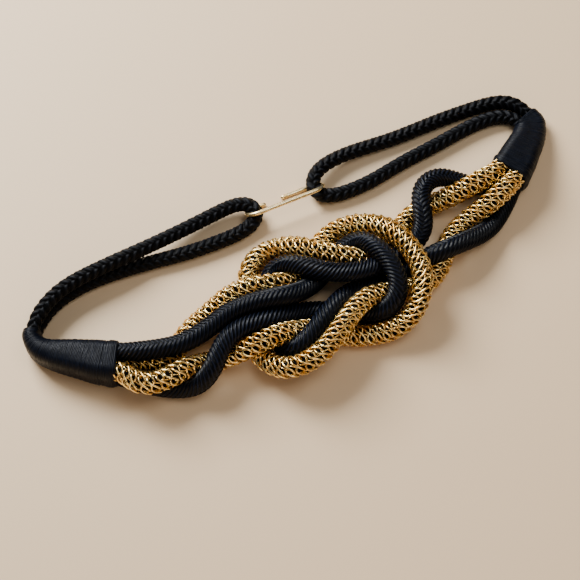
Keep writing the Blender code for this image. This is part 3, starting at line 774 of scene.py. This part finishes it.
def ring_wire(course, run_at, angle, reach, thickness):
    """The sections of one closed wire that runs round a cord."""
    line = on_cord(course, run_at, angle, reach)
    line[:, 2] = np.maximum(line[:, 2], thickness / 2)
    ahead = np.roll(line, -1, axis=0) - np.roll(line, 1, axis=0)
    ahead /= np.linalg.norm(ahead, axis=1)[:, None]
    out = line - on_cord(course, run_at, angle, np.zeros(len(angle)))
    out -= (out * ahead).sum(axis=1)[:, None] * ahead
    out /= np.linalg.norm(out, axis=1)[:, None]
    side = np.cross(ahead, out)
    lap = np.linspace(0.0, 2 * math.pi, WIRE_SIDES, endpoint=False)[None, :, None]
    section = np.cos(lap) * out[:, None] + np.sin(lap) * side[:, None]
    return line[:, None] + thickness / 2 * section


def wires(name, rings, look):
    """One object from the sections of many closed wires."""
    block = np.array(rings)
    flat = (block.reshape(-1, 3) - np.array(MIDDLE)) * MM
    number = np.arange(len(flat)).reshape(block.shape[:3])
    beyond = np.roll(number, -1, axis=1)
    quads = np.stack([number, np.roll(number, -1, axis=2), np.roll(beyond, -1, axis=2),
                      beyond], axis=-1).reshape(-1, 4)[:, ::-1]
    made = filled(name, flat, quads.ravel(), np.full(len(quads), 4), look)
    made.data.shade_smooth()
    made.data.validate()
    face_out(made)
    return made


def cord_line(path):
    """A cord's centre line in metres, as a plain list."""
    return [placed(point) for point in evenly(evened_path(path), 1.0)]


def declare(made, node_name, path):
    """Hides the solid that a cord stands for, and hangs the cord from the root."""
    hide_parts(node_name)
    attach(made, "root")
    line = cord_line(path)


def wound(side, mouth, neck, axis, look, seed):
    """A wrap of thread, each turn a ridge of its own, over the cords that it holds."""
    held = {}
    for ends in seats().values():
        for end, aside, height, diameter in ends:
            held.setdefault(end, []).append((aside, height, PRESSED * diameter / 2))
    wide = outline(held[mouth], WRAP_WALL + GAP)
    slim = outline(held[neck], WRAP_WALL + GAP)
    mouth_in = np.array(mouth[:2]) - SOCKET_DEPTH * direction(mouth[2])
    neck_in = np.array(neck[:2]) - NECK_DEPTH * direction(neck[2])
    step = THREAD / TURN_SECTIONS
    line = curve_through([mouth[:2], mouth_in, *axis[::-1], neck_in, neck[:2]], step)
    shares = np.linspace(0.0, 1.0, len(line))
    taper = np.array(WRAP_TAPER)
    slopes = np.gradient(line, axis=0)
    headings = np.degrees(np.unwrap(np.arctan2(-slopes[:, 1], -slopes[:, 0])))
    calm = np.ones(HEADING_CALM) / HEADING_CALM
    headings = np.convolve(np.pad(headings, HEADING_CALM // 2, mode="edge"), calm, mode="valid")
    run = shares * len(line) * step
    rng = np.random.default_rng(seed)
    turns = rng.normal(0.0, TURN_SPREAD, int(run[-1] / THREAD) + 3)
    rings = []
    angle = np.linspace(0.0, 2 * math.pi, WRAP_SIDES, endpoint=False)
    for place, heading, share, at in zip(line, headings, shares, run):
        form = np.interp(share, taper[:, 0], taper[:, 1])
        centre, radii = mixed(wide, slim, form)
        wave = at / THREAD + TURN_LEAN * np.sin(angle + TURN_FROM)
        bead = (BEAD * np.abs(np.sin(math.pi * wave)) ** BEAD_FORM
                + turns[np.floor(wave).astype(int)])
        edge = min(at, run[-1] - at)
        rounding = (WRAP_EDGE * max(0.0, 1 - edge / WRAP_EDGE) ** 2
                    - MOUTH_BAND * math.exp(-((at - BAND_PLACE) / BAND_HALF) ** 4))
        rings.append(ring(place, heading, (centre, radii + bead - TURN_SEAT - rounding)))
    points = np.array(rings)
    points[..., 2] = np.maximum(points[..., 2], 0.0)
    lap = np.arange(WRAP_SIDES)[None] * LAP
    uv = np.stack([np.broadcast_to(run[:, None], points.shape[:2]),
                   np.broadcast_to(lap, points.shape[:2])], axis=-1)
    made = grid_mesh(f"wound_thread_{side}", points, np.array([0.0, WRAP_SIDES * LAP]), uv, look)
    face_out(made)
    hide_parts(f"wrap_{side}")
    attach(made, "root")


def wire_hook(look):
    """The hook's wire, bent from one length, with its two ends rounded over."""
    smooth = evened_path(evenly(hook_path(), HOOK_STEP), HOOK_FAIR_PASSES)
    curve = bpy.data.curves.new("wire_hook", "CURVE")
    curve.dimensions = "3D"
    curve.bevel_depth = HOOK_WIRE / 2 * MM
    curve.bevel_resolution = 6
    curve.use_fill_caps = True
    spline = curve.splines.new("POLY")
    spline.points.add(len(smooth) - 1)
    radius = HOOK_WIRE / 2
    run = np.concatenate([[0.0], np.cumsum(np.linalg.norm(np.diff(smooth, axis=0), axis=1))])
    for point, spot, at in zip(spline.points, smooth, run):
        point.co = (*placed(spot), 1.0)
        edge = min(at, run[-1] - at, radius)
        point.radius = max(HOOK_TIP, math.sqrt(max(0.0, 1 - (1 - edge / radius) ** 2)))
    spline.use_smooth = True
    made = bpy.data.objects.new("wire_hook", curve)
    bpy.context.scene.collection.objects.link(made)
    bpy.ops.object.select_all(action="DESELECT")
    made.select_set(True)
    bpy.context.view_layer.objects.active = made
    bpy.ops.object.convert(target="MESH")
    made = bpy.context.object
    made.data.materials.clear()
    made.data.materials.append(look)
    made.data.shade_smooth()
    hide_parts("hook")
    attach(made, "root")


bpy.ops.object.select_all(action="DESELECT")
camera()
paths = cord_paths()
# Braided artificial silk: satin, nearly black, with a painted blue-grey highlight along each rib's
# crest.
black = threads("black_silk_braid", "010203", "060912", "161B29", strand=2.41, thread=0.32,
                run=4.0, roughness=0.32, shine=0.11, depth=0.14)
# Plaited cotton: duller and fuller than the braid, with no gloss, and a faint painted highlight
# along each strand's crest.
dull = threads("black_cotton_plait", "010102", "07080C", "101217", strand=4.8, thread=0.4,
               run=5.0, roughness=0.5, shine=0.09, depth=0.2)
# Braided black cord under the knitted wire: dull, and seen only as dark holes in the knit, with a
# faint painted highlight along each rib's crest.
inside = threads("dark_core_braid", "020100", "050301", "0A0704", strand=2.6, thread=0.4,
                 run=5.0, roughness=0.6, shine=0.05, depth=0.1)
# Wound artificial silk thread: fine streaks round the wrap, blue-black, with a soft sheen, partly
# real gloss and partly a painted blue-grey highlight along each turn's crest. The real thread is
# finer, and its streaks are drawn 1.1 mm wide so that they show.
thread = threads("black_whipping_thread", "010205", "090E1A", "0D1320", strand=THREAD,
                 thread=1.1, run=7.0, roughness=0.4, shine=0.12, depth=0.4)
# Gold plated wire, drawn and bright: pale cream on its crests and deep gold between them.
wire = metal("gold_plated_knitted_wire", "FFE6A0", "D9A24A", roughness=0.25, grain=6.0)
# Champagne plated wire with a brushed, satin surface: pale, with a soft highlight.
satin = metal("satin_champagne_wire", "FCE9BC", "DDBE80", roughness=0.26, grain=4.0)
for side, seed in (("left", 4), ("right", 6)):
    braid = braided(f"braid_{side}", paths[f"{side}_black"], BLACK_CORD, black, columns=2,
                    pitch=BRAID_PITCH, sweep=BRAID_SWEEP, height=BRAID_RIB, step=0.31, sides=60,
                    turned=BRAID_TWIST[side], proud=0.55)
    declare(braid, f"knot_black_{side}", paths[f"{side}_black"])
    inner = GOLD_CORD - 2 * SLEEVE_WALL - 2 * GAP
    core = braided(f"sleeve_core_{side}", paths[f"{side}_gold"], inner, inside, columns=2,
                   pitch=BRAID_PITCH, sweep=CORE_SWEEP, height=CORE_RIB, step=0.9, sides=40,
                   turned=[(0, 0)], proud=0.2)
    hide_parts(f"knot_gold_core_{side}")
    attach(core, "root")
    knit, legs = knitted(side, paths[f"{side}_gold"], wire, seed)
    declare(knit, f"knot_gold_sleeve_{side}", paths[f"{side}_gold"])
    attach(legs, "root")
    plait = braided(f"plait_{side}", paths[f"{side}_back"], BACK_CORD, dull, columns=4,
                    pitch=PLAIT_PITCH, sweep=PLAIT_SWEEP, height=PLAIT_RIB, step=0.4, sides=56,
                    turned=[(0, 0)], proud=0.45)
    declare(plait, f"back_loop_{side}", paths[f"{side}_back"])
wound("left", LEFT_MOUTH, LEFT_NECK, LEFT_AXIS, thread, seed=11)
wound("right", RIGHT_MOUTH, RIGHT_NECK, RIGHT_AXIS, thread, seed=12)
wire_hook(satin)
studio()
